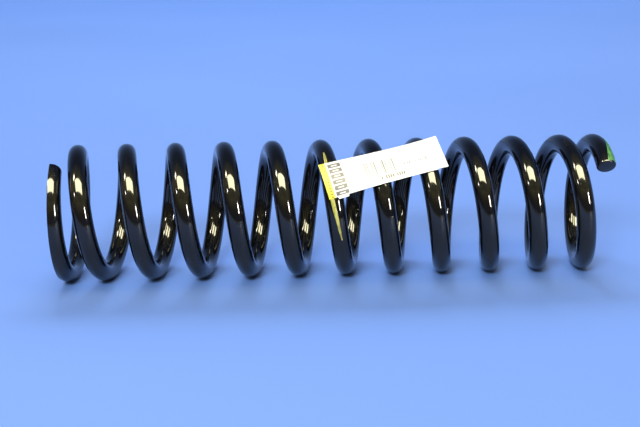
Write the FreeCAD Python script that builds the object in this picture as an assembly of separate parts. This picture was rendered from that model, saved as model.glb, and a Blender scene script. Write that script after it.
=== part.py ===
import FreeCAD, Part
import math
import os

# A right-hand wound suspension coil spring, lying along X in millimetres.
# The ground seat face is the plane X = 0, its centre is the origin, and Z is up.
# Turns are counted from the first top of the coil: turn 0 is at the top, 0.25 at the
# front (-Y), 0.5 at the bottom and 0.75 at the back.

# ---- driving dimensions ----
WIRE_D = 16.0             # diameter of the bar the spring is wound from
COIL_R = 50.0             # radius of the coil at the middle of the bar
ACTIVE_PITCH = 41.0       # advance for each working turn
SEAT_PITCH = 12.5         # advance for each turn where the ground end is closed
CUT_PITCH = 9.0           # advance for each turn where the bar is cut off
SEAT_TIP_TURN = -0.916    # where the bar starts, at the ground end
RISE_TURN = -0.20         # middle of the stretch where the ground end opens up
RISE_LENGTH = 0.20        # turns in that stretch
FALL_TURN = 10.10         # from here on the open end closes up
CUT_TURN = 11.116         # where the bar is cut off, at the open end
SEAT_TIP_X = 0.6          # how far the bar's middle stands off the seat at its tip

SEAT_TURN_END = 0.125     # where the ground end coil becomes working coil
OPEN_TURN_START = 10.625  # where the working coil becomes the open end coil
STEPS_PER_TURN = 4        # rigid lengths in each working turn
STEPS_OF_HELIX = 8        # each eighth of a turn has one pitch
SHORTEST_STEP = 0.001     # no shorter stretch of helix than this is made

LABEL_LENGTH = 102.0
LABEL_WIDTH = 32.0
LABEL_PAPER = 0.3
LABEL_STANDOFF = 0.8      # its left-hand end lies round the coil, bent this much wider
LABEL_FAR_BEND_R = 900.0  # its right-hand end stands off nearly flat
LABEL_TURN = 6.116        # the strand under the middle of the label
LABEL_OFFSET = 3.0        # middle of the label past that strand
LABEL_TILT = 15.0         # degrees, its right-hand end is the higher one
LABEL_GAP = 0.3           # paper to the highest points of the bar
LABEL_POINTS = (9, 7)     # the sheet is drawn through this many points each way

PAINT_FILM = 0.25
STRIPE_WIDTH = 3.0
STRIPE_TURNS = (5.135, 5.285)
STRIPE_ON_BAR = 10.0      # degrees round the bar from outermost, towards the ground end
MARK_SPAN = 150.0         # degrees round the bar that the end mark covers
MARK_TURNS = (11.02, 11.11)
MARK_ON_BAR = -40.0       # degrees round the bar from outermost, towards the open end

BAR_R = WIRE_D / 2
SIDES = ("top", "front", "bottom", "back")
# turn and pitch there; the pitch changes evenly from one station to the next
PITCH_STATIONS = (
    (SEAT_TIP_TURN, SEAT_PITCH),
    (RISE_TURN - RISE_LENGTH / 2, SEAT_PITCH),
    (RISE_TURN + RISE_LENGTH / 2, ACTIVE_PITCH),
    (FALL_TURN, ACTIVE_PITCH),
    (CUT_TURN, CUT_PITCH),
)


def pitch_added_up(turn):
    """How far the bar's middle has advanced from its tip, at a turn."""
    x = 0.0
    for (start, pitch), (end, next_pitch) in zip(PITCH_STATIONS, PITCH_STATIONS[1:]):
        if turn <= start:
            break
        reach = min(turn, end)
        reached = pitch + (next_pitch - pitch) * (reach - start) / (end - start)
        x += (pitch + reached) / 2 * (reach - start)
    return x


def bar_x(turn):
    """X of the bar's middle at a turn, advancing evenly within each eighth of a turn."""
    last_eighth = math.ceil(CUT_TURN * STEPS_OF_HELIX) - 1
    eighth = min(math.floor(turn * STEPS_OF_HELIX), last_eighth)
    start = max(eighth / STEPS_OF_HELIX, SEAT_TIP_TURN)
    end = min((eighth + 1) / STEPS_OF_HELIX, CUT_TURN)
    before, after = pitch_added_up(start), pitch_added_up(end)
    return SEAT_TIP_X + before + (after - before) * (turn - start) / (end - start)


def helix(start, end):
    """The bar's middle line between two turns, at one pitch."""
    advance = bar_x(end) - bar_x(start)
    line = Part.makeHelix(advance / (end - start), advance, COIL_R)
    # it starts on +X and climbs Z: laid down, it starts at the top and climbs X
    line.transformShape(FreeCAD.Matrix(0, 0, 1, 0, 0, -1, 0, 0, 1, 0, 0, 0, 0, 0, 0, 1))
    line.rotate(FreeCAD.Vector(0, 0, 0), FreeCAD.Vector(1, 0, 0), 360 * start)
    line.translate(FreeCAD.Vector(bar_x(start), 0, 0))
    return line.Edges[0]


def along_bar(section, start, end):
    """Sweep a section, drawn at the top of the coil about X = 0, from one turn to another.

    The section stays in a plane through the coil's axis, so that neighbouring lengths
    meet face to face and slide over each other along X without digging in.
    """
    first = math.ceil((start + SHORTEST_STEP) * STEPS_OF_HELIX)
    last = math.floor((end - SHORTEST_STEP) * STEPS_OF_HELIX)
    stops = [start, *(eighth / STEPS_OF_HELIX for eighth in range(first, last + 1)), end]
    spine = Part.Wire([helix(a, b) for a, b in zip(stops, stops[1:])])
    section.rotate(FreeCAD.Vector(0, 0, 0), FreeCAD.Vector(1, 0, 0), 360 * start)
    section.translate(FreeCAD.Vector(bar_x(start), 0, 0))
    pipe = Part.BRepOffsetAPI.MakePipeShell(spine)
    pipe.setBiNormalMode(FreeCAD.Vector(1, 0, 0))
    pipe.add(section)
    pipe.build()
    pipe.makeSolid()
    return pipe.shape()


def bar_section():
    """The bar's round section at the top of the coil."""
    middle = FreeCAD.Vector(0, 0, COIL_R)
    return Part.Wire(Part.Circle(middle, FreeCAD.Vector(0, 1, 0), BAR_R).toShape())


def film_section(middle_angle, span):
    """A thin strip of paint on the bar's surface, at the top of the coil."""
    half = math.radians(span) / 2
    middle = math.radians(middle_angle)

    def on_bar(radius, angle):
        return FreeCAD.Vector(-radius * math.sin(angle), 0, COIL_R + radius * math.cos(angle))

    def arc(radius, first, last):
        between = (first + last) / 2
        return Part.Arc(on_bar(radius, first), on_bar(radius, between), on_bar(radius, last))

    low, high = middle - half, middle + half
    outside = BAR_R + PAINT_FILM
    edges = [
        arc(BAR_R, low, high).toShape(),
        Part.makeLine(on_bar(BAR_R, high), on_bar(outside, high)),
        arc(outside, high, low).toShape(),
        Part.makeLine(on_bar(outside, low), on_bar(BAR_R, low)),
    ]
    return Part.Wire(edges)


def ground_end_coil():
    """The closed end coil, with its seat ground flat on X = 0."""
    coil = along_bar(bar_section(), SEAT_TIP_TURN, SEAT_TURN_END)
    side = 2 * (COIL_R + WIRE_D)
    stone = Part.makeBox(side / 2, side, side, FreeCAD.Vector(-side / 2, -side / 2, -side / 2))
    return coil.cut(stone)


def label():
    """Paper stuck across three strands, a little clear of the bar.

    Each point is so far along the coil and round it from the label's middle. The bend
    round the coil eases from one end of the paper to the other.
    """
    tilt = math.radians(LABEL_TILT)
    near = 1 / (COIL_R + BAR_R + LABEL_STANDOFF)
    far = 1 / LABEL_FAR_BEND_R
    rows = []
    for i in range(LABEL_POINTS[0]):
        share = i / (LABEL_POINTS[0] - 1)
        bend = near + (far - near) * share
        row = []
        for j in range(LABEL_POINTS[1]):
            u = LABEL_LENGTH * (share - 0.5)
            v = LABEL_WIDTH * (j / (LABEL_POINTS[1] - 1) - 0.5)
            along = u * math.cos(tilt) - v * math.sin(tilt)
            around = u * math.sin(tilt) + v * math.cos(tilt)
            up = math.sin(around * bend) / bend
            drop = (1 - math.cos(around * bend)) / bend
            row.append(FreeCAD.Vector(along, up, -drop))
        rows.append(row)
    sheet = Part.BSplineSurface()
    sheet.interpolate(rows)
    paper = sheet.toShape().extrude(FreeCAD.Vector(0, 0, LABEL_PAPER))
    paper.translate(FreeCAD.Vector(0, 0, COIL_R + BAR_R + LABEL_GAP))
    paper.rotate(FreeCAD.Vector(0, 0, 0), FreeCAD.Vector(1, 0, 0), 360 * (LABEL_TURN % 1))
    paper.translate(FreeCAD.Vector(bar_x(LABEL_TURN) + LABEL_OFFSET, 0, 0))
    return paper


def working_lengths():
    """The rigid lengths of the working coil, by name, with the turns that they run between."""
    count = round((OPEN_TURN_START - SEAT_TURN_END) * STEPS_PER_TURN)
    lengths = {}
    for step in range(count):
        start = SEAT_TURN_END + step / STEPS_PER_TURN
        end = SEAT_TURN_END + (step + 1) / STEPS_PER_TURN
        quarter = round((start + end) / 2 * len(SIDES))
        turn_number = (quarter - 1) // len(SIDES) + 1
        side = SIDES[quarter % len(SIDES)]
        lengths[f"turn_{turn_number:02d}_{side}"] = (start, end)
    return lengths


def build():
    parts = {"ground_end_coil": ground_end_coil()}
    for name, (start, end) in working_lengths().items():
        parts[name] = along_bar(bar_section(), start, end)
    parts["open_end_coil"] = along_bar(bar_section(), OPEN_TURN_START, CUT_TURN)
    parts["paper_label"] = label()
    stripe_span = math.degrees(STRIPE_WIDTH / BAR_R)
    stripe = film_section(STRIPE_ON_BAR, stripe_span)
    parts["yellow_paint_stripe"] = along_bar(stripe, *STRIPE_TURNS)
    mark = film_section(MARK_ON_BAR, MARK_SPAN)
    parts["green_paint_mark"] = along_bar(mark, *MARK_TURNS)
    return parts


os.makedirs("parts", exist_ok=True)
for node, shape in build().items():
    if not shape.isValid() or len(shape.Solids) != 1:
        raise ValueError(f"{node} is not one sound solid")
    shape.exportStep(f"parts/{node}.step")
    box = shape.BoundBox
    print(f"{node:22s} {shape.Volume:10.1f} mm3  x {box.XMin:7.2f} to {box.XMax:7.2f}"
          f"  y {box.YMin:6.2f} to {box.YMax:6.2f}  z {box.ZMin:6.2f} to {box.ZMax:6.2f}")
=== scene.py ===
import math

import bmesh
import bpy
import numpy as np
from mathutils import Matrix, Vector, noise


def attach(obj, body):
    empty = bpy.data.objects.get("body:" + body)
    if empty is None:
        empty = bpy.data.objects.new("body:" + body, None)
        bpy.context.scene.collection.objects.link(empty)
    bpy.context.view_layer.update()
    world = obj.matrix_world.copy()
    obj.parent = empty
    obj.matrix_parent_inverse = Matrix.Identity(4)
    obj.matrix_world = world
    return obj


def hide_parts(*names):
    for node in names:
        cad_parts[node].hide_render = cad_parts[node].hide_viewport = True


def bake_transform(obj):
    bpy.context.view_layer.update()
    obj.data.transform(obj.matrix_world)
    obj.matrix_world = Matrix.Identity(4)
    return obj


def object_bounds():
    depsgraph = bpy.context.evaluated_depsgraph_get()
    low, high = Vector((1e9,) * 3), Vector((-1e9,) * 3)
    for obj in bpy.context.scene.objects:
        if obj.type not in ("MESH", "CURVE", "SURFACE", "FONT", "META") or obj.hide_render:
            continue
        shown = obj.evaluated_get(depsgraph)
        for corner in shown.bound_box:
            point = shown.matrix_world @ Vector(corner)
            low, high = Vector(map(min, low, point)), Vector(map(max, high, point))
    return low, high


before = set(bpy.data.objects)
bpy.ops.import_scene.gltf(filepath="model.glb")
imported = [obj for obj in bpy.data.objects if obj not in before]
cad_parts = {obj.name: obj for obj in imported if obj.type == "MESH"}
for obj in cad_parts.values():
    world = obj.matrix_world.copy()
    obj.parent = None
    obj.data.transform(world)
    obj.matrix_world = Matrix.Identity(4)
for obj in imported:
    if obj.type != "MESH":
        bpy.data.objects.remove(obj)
CAD_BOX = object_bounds()

# ---- the spring's own sizes, in metres and turns, as the frame was made ----
BAR_R = 0.008                 # radius of the bar
COIL_R = 0.050                # coil radius at the middle of the bar
ACTIVE_PITCH = 0.041          # advance for each working turn
SEAT_PITCH = 0.0125           # advance for each turn of the closed ground end
CUT_PITCH = 0.009             # advance for each turn where the bar is cut off
TIP_TURN = -0.916             # the bar starts here, at the ground end
CUT_TURN = 11.116             # and is cut off here
RISE_START, RISE_END = -0.30, -0.10
FALL_START = 10.10
TIP_X = 0.0006                # the bar's middle stands this far off the seat at its tip

# turn and pitch there; the pitch changes evenly from one station to the next
PITCH_STATIONS = (
    (TIP_TURN, SEAT_PITCH),
    (RISE_START, SEAT_PITCH),
    (RISE_END, ACTIVE_PITCH),
    (FALL_START, ACTIVE_PITCH),
    (CUT_TURN, CUT_PITCH),
)

# where the turns start and stop closing up when the spring is squeezed
GIVE_STARTS = (-0.10, 0.20)
GIVE_STOPS = (9.75, 10.85)

RING_SIDES = 40
RINGS_PER_TURN = 96

LABEL_LENGTH = 0.102
LABEL_WIDTH = 0.032
LABEL_TILT = math.radians(15)
LABEL_STANDOFF = 0.0008       # its near end is bent this much wider than the coil
LABEL_FAR_BEND_R = 0.9        # its far end stands off nearly flat
LABEL_TURN = 6.116
LABEL_OFFSET = 0.003
LABEL_GAP = 0.0003
LABEL_PAPER = 0.00018
LABEL_LIFT = 0.00015          # middle of the paper above its gap
LABEL_DIP = 0.0001            # how far it dips between strands
LABEL_CURL = 0.0016           # how far its far corner curls off

PAINT_FILM = 0.00012
TIP_ROUNDING = 0.0016
CUT_EDGE_BREAK = 0.0009


def bar_x(turn):
    """X of the bar's middle at each turn: the pitch added up from the tip."""
    turn = np.asarray(turn, float)
    x = np.full(turn.shape, TIP_X)
    for (start, pitch), (end, next_pitch) in zip(PITCH_STATIONS, PITCH_STATIONS[1:]):
        reach = np.clip(turn, start, end) - start
        x += pitch * reach + (next_pitch - pitch) * reach**2 / (2 * (end - start))
    return x


def ramp(along, length):
    """Area under a rise from 0 to 1 over a length, and 1 after it."""
    inside = np.clip(along, 0, length)
    return inside**2 / (2 * length) + np.maximum(along - length, 0)


def give(turn):
    """Share of the spring's whole travel that a turn makes, from 0 to 1."""
    turn = np.asarray(turn, float)

    def taken(at):
        started, stopped = GIVE_STARTS, GIVE_STOPS
        return ramp(at - started[0], started[1] - started[0]) - ramp(
            at - stopped[0], stopped[1] - stopped[0]
        )

    return taken(turn) / taken(np.float64(CUT_TURN))


def on_bar(turn, round_bar, height=0.0):
    """Points on the bar's skin: at a turn, and at an angle round the bar.

    The angle is 0 on the coil's outside and grows towards the ground end.
    """
    turn, round_bar = np.asarray(turn, float), np.asarray(round_bar, float)
    reach = BAR_R + height
    radius = COIL_R + reach * np.cos(round_bar)
    swing = 2 * math.pi * turn
    x = bar_x(turn) - reach * np.sin(round_bar)
    return np.stack([x, -radius * np.sin(swing), radius * np.cos(swing)], axis=-1)


# ---------------------------------------------------------------- node helpers
class Val:
    """A shader socket that Python sums can be written with."""

    def __init__(self, paint, socket):
        self.paint, self.socket = paint, socket

    def _math(self, operation, *others):
        return self.paint.node(
            "ShaderNodeMath", {"operation": operation}, {0: self, **dict(enumerate(others, 1))}
        )

    def __add__(self, other):
        return self._math("ADD", other)

    def __radd__(self, other):
        return self._math("ADD", other)

    def __sub__(self, other):
        return self._math("SUBTRACT", other)

    def __rsub__(self, other):
        return self.paint.node("ShaderNodeMath", {"operation": "SUBTRACT"}, {0: other, 1: self})

    def __mul__(self, other):
        return self._math("MULTIPLY", other)

    def __rmul__(self, other):
        return self._math("MULTIPLY", other)

    def __gt__(self, other):
        return self._math("GREATER_THAN", other)

    def floor(self):
        return self._math("FLOOR")

    def fract(self):
        return self._math("FRACT")

    def over(self, other):
        return self._math("MAXIMUM", other)

    def under(self, other):
        return self._math("MINIMUM", other)

    def rise(self, low, high):
        """0 below low, 1 above high and smooth between; low may be above high."""
        return self.paint.node(
            "ShaderNodeMapRange",
            {"interpolation_type": "SMOOTHSTEP"},
            {"Value": self, "From Min": low, "From Max": high},
            "Result",
        )


class Paint:
    """The nodes of one material, or of the world round the spring."""

    def __init__(self, owner, shader="Principled BSDF"):
        owner.use_nodes = True
        self.tree = owner.node_tree
        self.shader = self.tree.nodes[shader]

    def node(self, kind, settings=None, inputs=None, output=0):
        new = self.tree.nodes.new(kind)
        for key, value in (settings or {}).items():
            if key == "ramp":
                stops = new.color_ramp.elements
                while len(stops) < len(value):
                    stops.new(0.5)
                for stop, (place, tint) in zip(stops, value):
                    stop.position, stop.color = place, tint
            else:
                setattr(new, key, value)
        for key, value in (inputs or {}).items():
            self.feed(new.inputs[key], value)
        return Val(self, new.outputs[output])

    def feed(self, socket, value):
        if isinstance(value, Val):
            self.tree.links.new(value.socket, socket)
        elif value is not None:
            socket.default_value = value

    def set(self, **inputs):
        for key, value in inputs.items():
            self.feed(self.shader.inputs[key.replace("_", " ")], value)

    def place(self):
        return self.node("ShaderNodeTexCoord", output="Object")

    def noise(self, where, scale, detail=3.0, rough=0.5):
        return self.node(
            "ShaderNodeTexNoise",
            {},
            {"Vector": where, "Scale": scale, "Detail": detail, "Roughness": rough},
            "Fac",
        )

    def cells(self, where, scale):
        """Distance to the nearest of many scattered points."""
        return self.node("ShaderNodeTexVoronoi", {}, {"Vector": where, "Scale": scale}, "Distance")

    def chance(self, cell):
        """A number from 0 to 1 for each whole number."""
        return self.node("ShaderNodeTexWhiteNoise", {"noise_dimensions": "1D"}, {"W": cell}, "Value")

    def stretch(self, where, by):
        return self.node("ShaderNodeMapping", {}, {"Vector": where, "Scale": by})

    def parts_of(self, where):
        split = self.node("ShaderNodeSeparateXYZ", {}, {0: where}).socket.node
        return [Val(self, socket) for socket in split.outputs]

    def ramp(self, value, stops):
        """Colours along a value; the stops are place and colour."""
        return self.node("ShaderNodeValToRGB", {"ramp": stops}, {0: value}, "Color")

    def blend(self, share, first, second):
        """Colour between two, by a share from 0 to 1."""
        inputs = {"Factor": share, 6: first, 7: second}
        return self.node("ShaderNodeMix", {"data_type": "RGBA"}, inputs, 2)

    def bump(self, height, depth, normal=None):
        return self.node(
            "ShaderNodeBump", {}, {"Height": height, "Distance": depth, "Normal": normal}, "Normal"
        )

    def straight_bar(self):
        """Where a point was on the bar before it was wound."""
        return self.node("ShaderNodeAttribute", {"attribute_name": "straight_bar"}, {}, "Vector")


def colour(red, green, blue):
    return (red, green, blue, 1.0)


# ------------------------------------------------------------------ the camera
def set_camera():
    lens = bpy.data.cameras.new("camera")
    lens.sensor_width = 36
    lens.lens = 66.0
    lens.shift_x, lens.shift_y = -0.031, 0.016
    lens.clip_start, lens.clip_end = 0.05, 60
    camera = bpy.data.objects.new("camera", lens)
    bpy.context.scene.collection.objects.link(camera)
    yaw, pitch, roll = (math.radians(a) for a in (-2.47, -15.20, 0.75))
    turn = Matrix.Rotation(yaw, 4, "Z") @ Matrix.Rotation(pitch, 4, "X")
    turn = turn @ Matrix.Rotation(roll, 4, "Y") @ Matrix.Rotation(math.pi / 2, 4, "X")
    camera.matrix_world = Matrix.Translation((0.1949, -0.9730, 0.2496)) @ turn
    bpy.context.scene.camera = camera


def soft_light(name, aim, round_to_right, up, reach, size, power, tint):
    """A soft box that faces the spring: degrees round to the right and up, seen from in front."""
    data = bpy.data.lights.new(name, "AREA")
    data.shape = "RECTANGLE"
    data.size, data.size_y = size
    data.energy = power
    data.color = tint
    light = bpy.data.objects.new(name, data)
    bpy.context.scene.collection.objects.link(light)
    side, rise = math.radians(round_to_right), math.radians(up)
    off = Vector((math.sin(side) * math.cos(rise), -math.cos(side) * math.cos(rise), math.sin(rise)))
    facing = (-off).to_track_quat("-Z", "Y").to_matrix().to_4x4()
    light.matrix_world = Matrix.Translation(aim + off * reach) @ facing


# --------------------------------------------------------------- modelling help
def nothing_selected():
    if bpy.context.object and bpy.context.object.mode != "OBJECT":
        bpy.ops.object.mode_set(mode="OBJECT")
    bpy.ops.object.select_all(action="DESELECT")


def only(piece):
    nothing_selected()
    piece.select_set(True)
    bpy.context.view_layer.objects.active = piece


def settle(piece):
    """Leave a piece unturned and unscaled at the origin, its place in its mesh."""
    only(piece)
    bpy.ops.object.transform_apply(location=True, rotation=True, scale=True)


def points_of(piece):
    flat = np.empty(len(piece.data.vertices) * 3, np.float32)
    piece.data.vertices.foreach_get("co", flat)
    return flat.reshape(-1, 3).astype(float)


def move_points(piece, points):
    piece.data.vertices.foreach_set("co", np.asarray(points, np.float32).ravel())
    piece.data.update()


def face_outwards(piece):
    only(piece)
    bpy.ops.object.mode_set(mode="EDIT")
    bpy.ops.mesh.select_all(action="SELECT")
    bpy.ops.mesh.remove_doubles(threshold=1e-6)
    bpy.ops.mesh.normals_make_consistent(inside=False)
    bpy.ops.object.mode_set(mode="OBJECT")


def select_faces(piece, wanted):
    """Select, in edit mode, the faces that a test on middle and normal picks."""
    only(piece)
    bpy.ops.object.mode_set(mode="EDIT")
    bpy.ops.mesh.select_all(action="DESELECT")
    bpy.ops.mesh.select_mode(type="FACE")
    shape = bmesh.from_edit_mesh(piece.data)
    for face in shape.faces:
        face.select = wanted(face.calc_center_median(), face.normal)
    shape.select_flush_mode()
    bmesh.update_edit_mesh(piece.data)


def unwind(points):
    """For points near the bar: the turn, and how far out and towards the open end they are."""
    swing = np.arctan2(-points[:, 1], points[:, 2]) / (2 * math.pi)
    first = math.floor(TIP_TURN) - 1
    rounds = np.arange(first, math.ceil(CUT_TURN) + 2)
    turns = swing[:, None] + rounds[None, :]
    off = points[:, 0][:, None] - bar_x(turns)
    # the bar has no turn before its tip or past its cut
    outside = (turns < TIP_TURN - 0.02) | (turns > CUT_TURN + 0.02)
    nearest = np.argmin(np.abs(off) + outside, axis=1)
    rows = np.arange(len(points))
    out = np.hypot(points[:, 1], points[:, 2]) - COIL_R
    return turns[rows, nearest], out, off[rows, nearest]


def remember_straight_bar(piece):
    """Keep on each point its place on the bar before it was wound, in metres.

    x runs along the bar, y is out from the coil's axis and z is towards the ground end.
    """
    turn, out, off = unwind(points_of(piece))
    straight = np.stack([turn * math.hypot(2 * math.pi * COIL_R, ACTIVE_PITCH), out, -off], axis=1)
    layer = piece.data.attributes.new("straight_bar", "FLOAT_VECTOR", "POINT")
    layer.data.foreach_set("vector", straight.astype(np.float32).ravel())


def squeeze_with_spring(piece):
    """Bake a piece's place into its mesh and work out the share of the squeeze each of its points
    would take; nothing uses that share.
    """
    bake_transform(piece)
    turn, _, _ = unwind(points_of(piece))
    share = give(turn)


# -------------------------------------------------------------------- the bar
def fill_ends(bar):
    only(bar)
    bpy.ops.object.mode_set(mode="EDIT")
    bpy.ops.mesh.select_all(action="DESELECT")
    bpy.ops.mesh.select_mode(type="EDGE")
    bpy.ops.mesh.select_non_manifold()
    bpy.ops.mesh.edge_face_add()
    bpy.ops.object.mode_set(mode="OBJECT")
    shape = bmesh.new()
    shape.from_mesh(bar.data)
    open_edges = [edge for edge in shape.edges if edge.is_boundary]
    if open_edges:
        bmesh.ops.holes_fill(shape, edges=open_edges)
    shape.to_mesh(bar.data)
    shape.free()
    face_outwards(bar)


def bevel_end(bar, turn, side, width):
    """Take the edge off the bar's end at a turn; side is 1 for the tip and -1 for the cut."""
    swing = 2 * math.pi * turn
    outward = side * Vector((0, math.cos(swing), math.sin(swing)))
    middle_of_end = Vector(on_bar(turn, math.pi, -BAR_R).tolist())

    def on_end(middle, normal):
        return normal.dot(outward) > 0.98 and (middle - middle_of_end).length < BAR_R

    select_faces(bar, on_end)
    bpy.ops.mesh.bevel(offset=width, segments=3, affect="EDGES")
    bpy.ops.object.mode_set(mode="OBJECT")


def grind_seat(bar):
    """Cut the ground end off flat on X = 0."""
    only(bar)
    bpy.ops.object.mode_set(mode="EDIT")
    bpy.ops.mesh.select_all(action="SELECT")
    bpy.ops.mesh.bisect(
        plane_co=(0, 0, 0), plane_no=(1, 0, 0), use_fill=True, clear_inner=True, threshold=1e-7
    )
    bpy.ops.object.mode_set(mode="OBJECT")


def wind_bar():
    """One bar from tip to cut: its round section spun about the coil's axis, then pitched."""
    nothing_selected()
    bpy.ops.mesh.primitive_circle_add(
        vertices=RING_SIDES, radius=BAR_R, location=(0, 0, COIL_R), rotation=(math.pi / 2, 0, 0)
    )
    bar = bpy.context.object
    bar.name = "spring_bar"
    settle(bar)

    # spin the section about X, one ring for each step
    steps = round((CUT_TURN - TIP_TURN) * RINGS_PER_TURN)
    spin = bar.modifiers.new("wind", "SCREW")
    spin.axis = "X"
    spin.angle = 2 * math.pi * (CUT_TURN - TIP_TURN)
    spin.screw_offset = 0
    spin.steps = spin.render_steps = steps
    bpy.ops.object.modifier_apply(modifier="wind")

    # put each ring at its turn and draw it out along X by the pitch
    section = points_of(bar)[:RING_SIDES]
    round_bar = np.arctan2(-section[:, 0], section[:, 2] - COIL_R)
    turns = np.linspace(TIP_TURN, CUT_TURN, steps + 1)
    rings = on_bar(np.repeat(turns, RING_SIDES), np.tile(round_bar, steps + 1))
    move_points(bar, rings)

    fill_ends(bar)
    bevel_end(bar, TIP_TURN, 1, TIP_ROUNDING)
    grind_seat(bar)
    bevel_end(bar, CUT_TURN, -1, CUT_EDGE_BREAK)
    return bar


def smooth_bar(bar):
    only(bar)
    bpy.ops.object.shade_smooth_by_angle(angle=math.radians(35))
    # the ground face keeps its sharp rim even where it feathers out
    select_faces(bar, lambda middle, normal: normal.x < -0.999 and abs(middle.x) < 1e-5)
    bpy.ops.mesh.mark_sharp()
    bpy.ops.object.mode_set(mode="OBJECT")


# -------------------------------------------------------------- paint on the bar
def paint_patch(name, turns, angles, ragged, cells, seed):
    """A dab of paint on the bar, thick in its middle and sinking into the bar at its edge.

    turns are its ends, angles gives its middle and half width round the bar, and ragged
    is how quickly its outline wanders each way, and how far.
    """
    nothing_selected()
    bpy.ops.mesh.primitive_grid_add(x_subdivisions=cells[0], y_subdivisions=cells[1], size=2)
    patch = bpy.context.object
    patch.name = name
    settle(patch)
    flat = points_of(patch)
    along, across = flat[:, 0], flat[:, 1]
    turn = np.interp(along, (-1, 1), turns)
    middle, half = angles(along)
    height = np.empty(len(flat))
    for i, (u, v) in enumerate(zip(along, across)):
        wander = noise.fractal(Vector((u * ragged[0], v * ragged[1], seed)), 0.8, 2.1, 4)
        edge = 1 - max(abs(u), abs(v)) ** 3 + ragged[2] * wander
        height[i] = PAINT_FILM * min(1.0, edge * 2.2 - 0.9)
    height = np.maximum(height, -PAINT_FILM)
    move_points(patch, on_bar(turn, middle + half * across, height))
    skin = patch.modifiers.new("film", "SOLIDIFY")
    skin.thickness = 2.5 * PAINT_FILM
    skin.offset = -1
    only(patch)
    bpy.ops.object.modifier_apply(modifier="film")
    face_outwards(patch)
    only(patch)
    bpy.ops.object.shade_smooth_by_angle(angle=math.radians(50))
    return patch


def stripe_line(along):
    """The yellow stripe wanders round the bar and narrows to its lower end."""
    middle = np.radians(np.interp(along, (-1, 0.1, 1), (17, 15, -12)))
    half = np.interp(along, (-1, -0.7, 0.3, 1), (0.06, 0.15, 0.20, 0.05))
    return middle, half


def end_dab_line(along):
    """The green dab covers the bar's outer side, wider towards the cut."""
    middle = np.radians(np.interp(along, (-1, 1), (-78, -62)))
    half = np.radians(np.interp(along, (-1, 0.4, 1), (26, 52, 62)))
    return middle, half


# ------------------------------------------------------------------- the label
def paper_label():
    """Paper stuck over three strands, flatter than the coil and curling off at its corners."""
    nothing_selected()
    bpy.ops.mesh.primitive_grid_add(x_subdivisions=170, y_subdivisions=54, size=1)
    label = bpy.context.object
    label.name = "label_sheet"
    bpy.ops.transform.resize(value=(LABEL_LENGTH, LABEL_WIDTH, 1))
    settle(label)

    flat = points_of(label)
    u, v = flat[:, 0] + LABEL_LENGTH / 2, flat[:, 1] + LABEL_WIDTH / 2
    chart = label.data.uv_layers.active or label.data.uv_layers.new(name="print")
    chart.name = "print"
    corners = np.empty(len(label.data.loops), np.int32)
    label.data.loops.foreach_get("vertex_index", corners)
    places = np.stack([u[corners] / LABEL_LENGTH, v[corners] / LABEL_LENGTH], axis=1)
    chart.data.foreach_set("uv", places.astype(np.float32).ravel())

    # small tongues and a nick where the backing tore along the lower edge
    low = v < 0.0004
    tongue = low & (u > 0.0075) & (u < 0.0165)
    nick = low & (u > LABEL_LENGTH - 0.0085)
    up_sheet = flat[:, 1] + np.where(tongue, -0.0018, 0) + np.where(nick, 0.0016, 0)

    # it lies round the coil at its near end and stands off nearly flat at its far end
    share = flat[:, 0] / LABEL_LENGTH + 0.5
    near_bend, far_bend = 1 / (COIL_R + BAR_R + LABEL_STANDOFF), 1 / LABEL_FAR_BEND_R
    bend = near_bend + (far_bend - near_bend) * share
    x = flat[:, 0] * math.cos(LABEL_TILT) - up_sheet * math.sin(LABEL_TILT)
    around = flat[:, 0] * math.sin(LABEL_TILT) + up_sheet * math.cos(LABEL_TILT)
    # the paper dips a little between the strands that hold it, and its far corner curls off
    strands = (LABEL_OFFSET + x) / ACTIVE_PITCH
    dip = LABEL_DIP * (1 - np.cos(2 * math.pi * strands)) / 2
    high = np.clip(up_sheet / LABEL_WIDTH + 0.5, 0, 1)
    curl = LABEL_CURL * np.clip(2 * share - 1, 0, 1) ** 2 * high
    y = np.sin(around * bend) / bend
    rest_height = COIL_R + BAR_R + LABEL_GAP + LABEL_LIFT
    z = rest_height + curl - dip - (1 - np.cos(around * bend)) / bend
    lean = 2 * math.pi * LABEL_TURN
    place = np.stack(
        [
            x + float(bar_x(LABEL_TURN)) + LABEL_OFFSET,
            y * math.cos(lean) - z * math.sin(lean),
            y * math.sin(lean) + z * math.cos(lean),
        ],
        axis=1,
    )
    move_points(label, place)
    paper = label.modifiers.new("paper", "SOLIDIFY")
    paper.thickness = LABEL_PAPER
    paper.offset = 0
    only(label)
    bpy.ops.object.modifier_apply(modifier="paper")
    bpy.ops.object.shade_smooth_by_angle(angle=math.radians(40))
    return label


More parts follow.
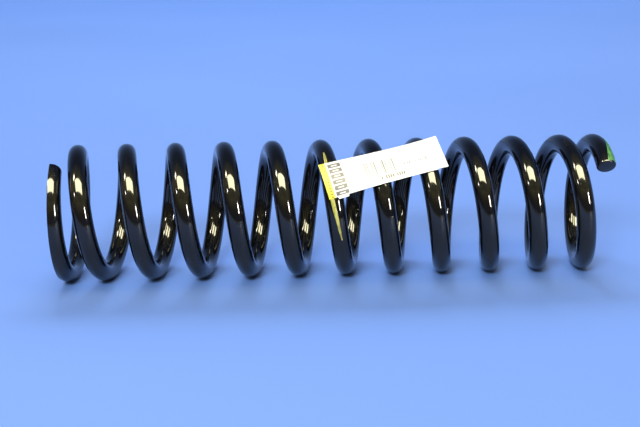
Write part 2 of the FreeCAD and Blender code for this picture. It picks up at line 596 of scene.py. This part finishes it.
# ------------------------------------------------------------------- materials
def black_coating():
    """Gloss black baked enamel over rolled bar: runs, nibs, dust and a few rub marks."""
    material = bpy.data.materials.new("black_coating")
    paint = Paint(material)
    bar = paint.straight_bar()
    here = paint.place()
    _, out, _ = paint.parts_of(bar)

    # the steel's own long rolling marks telegraph faintly through the coat
    drawn = paint.noise(paint.stretch(bar, (40, 900, 900)), 1.0, 2.0)
    peel = paint.noise(here, 420.0, 2.0, 0.45)
    ripple = paint.noise(paint.stretch(bar, (60, 130, 130)), 1.0, 2.0)
    nibs = paint.cells(here, 170.0).rise(0.16, 0.05) * paint.noise(here, 60.0).rise(0.56, 0.66)
    dust = paint.cells(here, 650.0).rise(0.22, 0.10) * paint.noise(here, 38.0, 4.0).rise(0.50, 0.70)
    haze = paint.noise(here, 22.0, 5.0, 0.6).rise(0.42, 0.72)

    # handling scuffs: short bright lines that run round the outside of the coil
    scratch_bed = paint.noise(paint.stretch(bar, (55, 2600, 2600)), 1.0, 1.0)
    scratch_patch = paint.noise(here, 30.0, 2.0).rise(0.58, 0.70)
    scuffs = scratch_bed.rise(0.68, 0.74) * scratch_patch * out.rise(0.001, 0.006)

    warm = paint.noise(here, 14.0, 3.0)
    cold_black, warm_black = colour(0.0020, 0.0021, 0.0025), colour(0.0036, 0.0034, 0.0028)
    base = paint.blend(warm.rise(0.35, 0.65), cold_black, warm_black)
    base = paint.blend(scuffs * 0.35, base, colour(0.070, 0.068, 0.064))
    base = paint.blend(dust * 0.45, base, colour(0.120, 0.115, 0.105))

    rough = 0.06 + haze * 0.05 + dust * 0.25 + scuffs * 0.22

    lumps = paint.bump(ripple, 0.00006)
    lumps = paint.bump(peel, 0.000010, lumps)
    lumps = paint.bump(drawn, 0.0000015, lumps)
    lumps = paint.bump(nibs, 0.00010, lumps)
    lumps = paint.bump(scuffs, -0.00001, lumps)

    paint.set(Base_Color=base, Roughness=rough, Normal=lumps, IOR=1.5)
    return material


def label_print():
    """White label stock: a yellow band, bars, ruled dashes for text and soft handling marks."""
    material = bpy.data.materials.new("label_paper")
    paint = Paint(material)
    where = paint.node("ShaderNodeUVMap", {"uv_map": "print"}, output="UV")
    across, up, _ = paint.parts_of(where)
    along = across * (LABEL_LENGTH * 1000)
    high = up * (LABEL_LENGTH * 1000)
    here = paint.place()
    fibre = paint.noise(here, 1400.0, 4.0, 0.6)
    smear = paint.noise(here, 160.0, 3.0)

    def box(value, low, high_end, soft=0.12):
        return value.rise(low - soft, low + soft) * value.rise(high_end + soft, high_end - soft)

    def field(x0, x1, y0, y1, soft=0.12):
        return box(along, x0, x1, soft) * box(high, y0, y1, soft)

    # bars of many widths
    bar_cells = along * 0.85
    wide = paint.chance(bar_cells.floor())
    bars = bar_cells.fract().rise(0.75 * wide + 0.05, 0.75 * wide - 0.05)
    bars = bars * field(33.5, 62.0, 8.5, 22.5)

    # dashes that stand for lines of small print
    def dashes(x0, x1, y0, y1, pitch, salt):
        cell = along * (1 / pitch)
        keep = paint.chance(cell.floor() + salt)
        stroke = box(cell.fract(), 0.10, 0.80, 0.06) * (keep > 0.20)
        return stroke * field(x0, x1, y0, y1)

    lines = dashes(45.0, 66.0, 3.6, 6.8, 1.9, 3.0)
    lines = lines.over(dashes(67.5, 83.0, 4.2, 6.2, 1.5, 11.0) * 0.45)
    lines = lines.over(dashes(67.0, 83.0, 12.4, 14.6, 1.6, 17.0) * 0.75)
    lines = lines.over(dashes(86.0, 90.0, 12.0, 15.4, 2.2, 29.0) * 0.7)
    lines = lines.over(dashes(73.0, 81.0, 20.6, 22.4, 1.6, 23.0) * 0.45)
    lines = lines.over(dashes(83.5, 86.0, 23.8, 25.6, 1.9, 31.0) * 0.45)

    # a row of heavy blocks stands for the large print beside the band
    block_cell = high * (1 / 5.1)
    body = box(block_cell.fract(), 0.10, 0.84, 0.05)
    hollow = box(block_cell.fract(), 0.38, 0.56, 0.05) * box(along, 9.6, 14.6, 0.2)
    blocks = (body - hollow * body) * field(6.8, 17.4, 1.0, 31.0)

    # small ticks along the yellow band
    tick_cell = high * (1 / 2.6)
    ticks = box(tick_cell.fract(), 0.2, 0.62, 0.08) * box(along, 2.6, 4.0, 0.2)

    band = along.rise(5.6, 5.0)
    ink = bars.over(blocks).over(lines).over(ticks * 0.8)
    ink = ink * (0.75 + 0.3 * smear)
    stock = paint.blend(fibre, colour(0.62, 0.62, 0.595), colour(0.70, 0.70, 0.685))
    stock = paint.blend(smear.rise(0.52, 0.8) * 0.25, stock, colour(0.54, 0.52, 0.44))
    yellow = paint.blend(smear, colour(0.62, 0.60, 0.035), colour(0.56, 0.53, 0.025))
    sheet = paint.blend(band, stock, yellow)
    sheet = paint.blend(ink.under(1.0), sheet, colour(0.030, 0.027, 0.024))

    rough = 0.42 + fibre * 0.18 - ink * 0.10
    paint.set(Base_Color=sheet, Roughness=rough, Normal=paint.bump(fibre, 0.00001))
    paint.set(IOR=1.45)
    return material


def brushed_paint(name, thin, thick, bare):
    """Marking paint dabbed on by hand, thin at its edges."""
    material = bpy.data.materials.new(name)
    paint = Paint(material)
    bar = paint.straight_bar()
    here = paint.place()
    streaks = paint.noise(paint.stretch(bar, (70, 800, 800)), 1.0, 3.0)
    body = paint.noise(here, 240.0, 4.0, 0.6)
    cover = (streaks * 0.6 + body * 0.5).rise(0.38, 0.62)
    shade = paint.blend(cover, thin, thick)
    worn = paint.noise(here, 520.0, 3.0).rise(0.60, 0.72)
    shade = paint.blend(worn * 0.55, shade, bare)
    lumps = paint.bump(streaks, 0.00008)
    lumps = paint.bump(body, 0.00005, lumps)
    paint.set(Base_Color=shade, Roughness=0.28 + worn * 0.3 + body * 0.1, Normal=lumps)
    paint.set(Coat_Weight=0.3, Coat_Roughness=0.12)
    return material


def floor_sheet():
    material = bpy.data.materials.new("backdrop_paper")
    paint = Paint(material)
    here = paint.place()
    cloudy = paint.noise(here, 1.6, 3.0)
    tone = paint.blend(cloudy, colour(0.080, 0.178, 0.480), colour(0.098, 0.200, 0.520))
    # painted shade: well in front of the spring the sheet is painted near black, standing for the
    # dim, unlit room there
    _, back, _ = paint.parts_of(here)
    tone = paint.blend(back.rise(-0.32, -0.95), tone, colour(0.020, 0.018, 0.018))
    paint.set(Base_Color=tone, Roughness=0.62 + cloudy * 0.1)
    return material


def wear(piece, material):
    piece.data.materials.clear()
    piece.data.materials.append(material)


# -------------------------------------------------------------------- the stage
def set_stage():
    nothing_selected()
    bpy.ops.mesh.primitive_plane_add(size=30, location=(0.23, 6.0, CAD_BOX[0].z - 0.0002))
    floor = bpy.context.object
    floor.name = "floor"
    settle(floor)
    wear(floor, floor_sheet())

    bpy.context.scene.view_settings.view_transform = "Standard"
    world = bpy.data.worlds.new("studio")
    bpy.context.scene.world = world
    room = Paint(world, "Background")
    way = room.node("ShaderNodeTexCoord", output="Generated")
    _, back, up = room.parts_of(way)
    # a warm dim room in front of the spring and a blue sweep behind it
    front_room = room.ramp(up, (
        (0.00, colour(0.14, 0.19, 0.38)),
        (0.14, colour(0.19, 0.16, 0.14)),
        (0.30, colour(0.46, 0.38, 0.20)),
        (0.50, colour(0.80, 0.72, 0.36)),
        (1.00, colour(0.60, 0.58, 0.40)),
    ))
    back_room = room.ramp(up, (
        (0.00, colour(0.26, 0.42, 0.80)),
        (0.30, colour(0.15, 0.26, 0.56)),
        (0.80, colour(0.06, 0.10, 0.22)),
    ))
    clutter = room.noise(way, 7.0, 4.0, 0.6).rise(0.30, 0.66)
    dim_room = room.blend(0.68, front_room, colour(0.05, 0.04, 0.03))
    front_room = room.blend(clutter, dim_room, front_room)
    room.set(Color=room.blend(back.rise(-0.15, 0.30), front_room, back_room))

    middle = Vector((0.25, 0.0, 0.0))
    soft_light("skylight", middle, 6, 63, 3.0, (3.8, 1.25), 400, (1.0, 0.94, 0.62))
    soft_light("window_right", middle, 50, 16, 2.4, (0.22, 0.62), 62, (1.0, 0.98, 0.93))
    soft_light("lamp_left", middle, -60, 28, 2.4, (0.16, 0.16), 8, (1.0, 0.97, 0.9))
    soft_light("lamp_high_left", middle, -75, 50, 2.4, (0.3, 0.5), 22, (1.0, 0.93, 0.7))
    # those four are there for the enamel to mirror, and these three to light the label
    # and the sweep and cast soft shadows
    soft_light("front_key", middle, -14, 31, 2.4, (0.7, 0.4), 78, (1.0, 0.99, 0.97))
    soft_light("back_key", middle, 6, 125, 2.4, (1.2, 0.8), 34, (0.94, 0.99, 1.0))
    soft_light("sweep", Vector((0.25, 3.6, -0.06)), 0, 90, 3.4, (7.0, 4.0), 330, (0.92, 0.95, 1.0))
    for mirrored in ("skylight", "window_right", "lamp_left", "lamp_high_left"):
        bpy.data.objects[mirrored].visible_diffuse = False
    for unmirrored in ("front_key", "back_key", "sweep"):
        bpy.data.objects[unmirrored].visible_glossy = False


set_camera()
set_stage()

STUCK_ON = ("paper_label", "yellow_paint_stripe", "green_paint_mark")
BAR_NODES = [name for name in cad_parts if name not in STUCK_ON]

bar = wind_bar()
remember_straight_bar(bar)
smooth_bar(bar)
wear(bar, black_coating())
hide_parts(*BAR_NODES)
squeeze_with_spring(bar)

stripe = paint_patch("yellow_stripe", (5.068, 5.288), stripe_line, (6, 1.8, 0.7), (130, 14), 3.0)
remember_straight_bar(stripe)
yellow = (colour(0.22, 0.20, 0.035), colour(0.46, 0.43, 0.09), colour(0.10, 0.09, 0.02))
wear(stripe, brushed_paint("yellow_paint", *yellow))
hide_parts("yellow_paint_stripe")
squeeze_with_spring(stripe)

dab = paint_patch("green_dab", (10.996, 11.112), end_dab_line, (3.5, 2.5, 1.1), (90, 90), 8.0)
remember_straight_bar(dab)
green = (colour(0.020, 0.075, 0.018), colour(0.085, 0.290, 0.055), colour(0.006, 0.014, 0.006))
wear(dab, brushed_paint("green_paint", *green))
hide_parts("green_paint_mark")
squeeze_with_spring(dab)

label = paper_label()
wear(label, label_print())
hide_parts("paper_label")
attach(label, "turn_07_front_length")
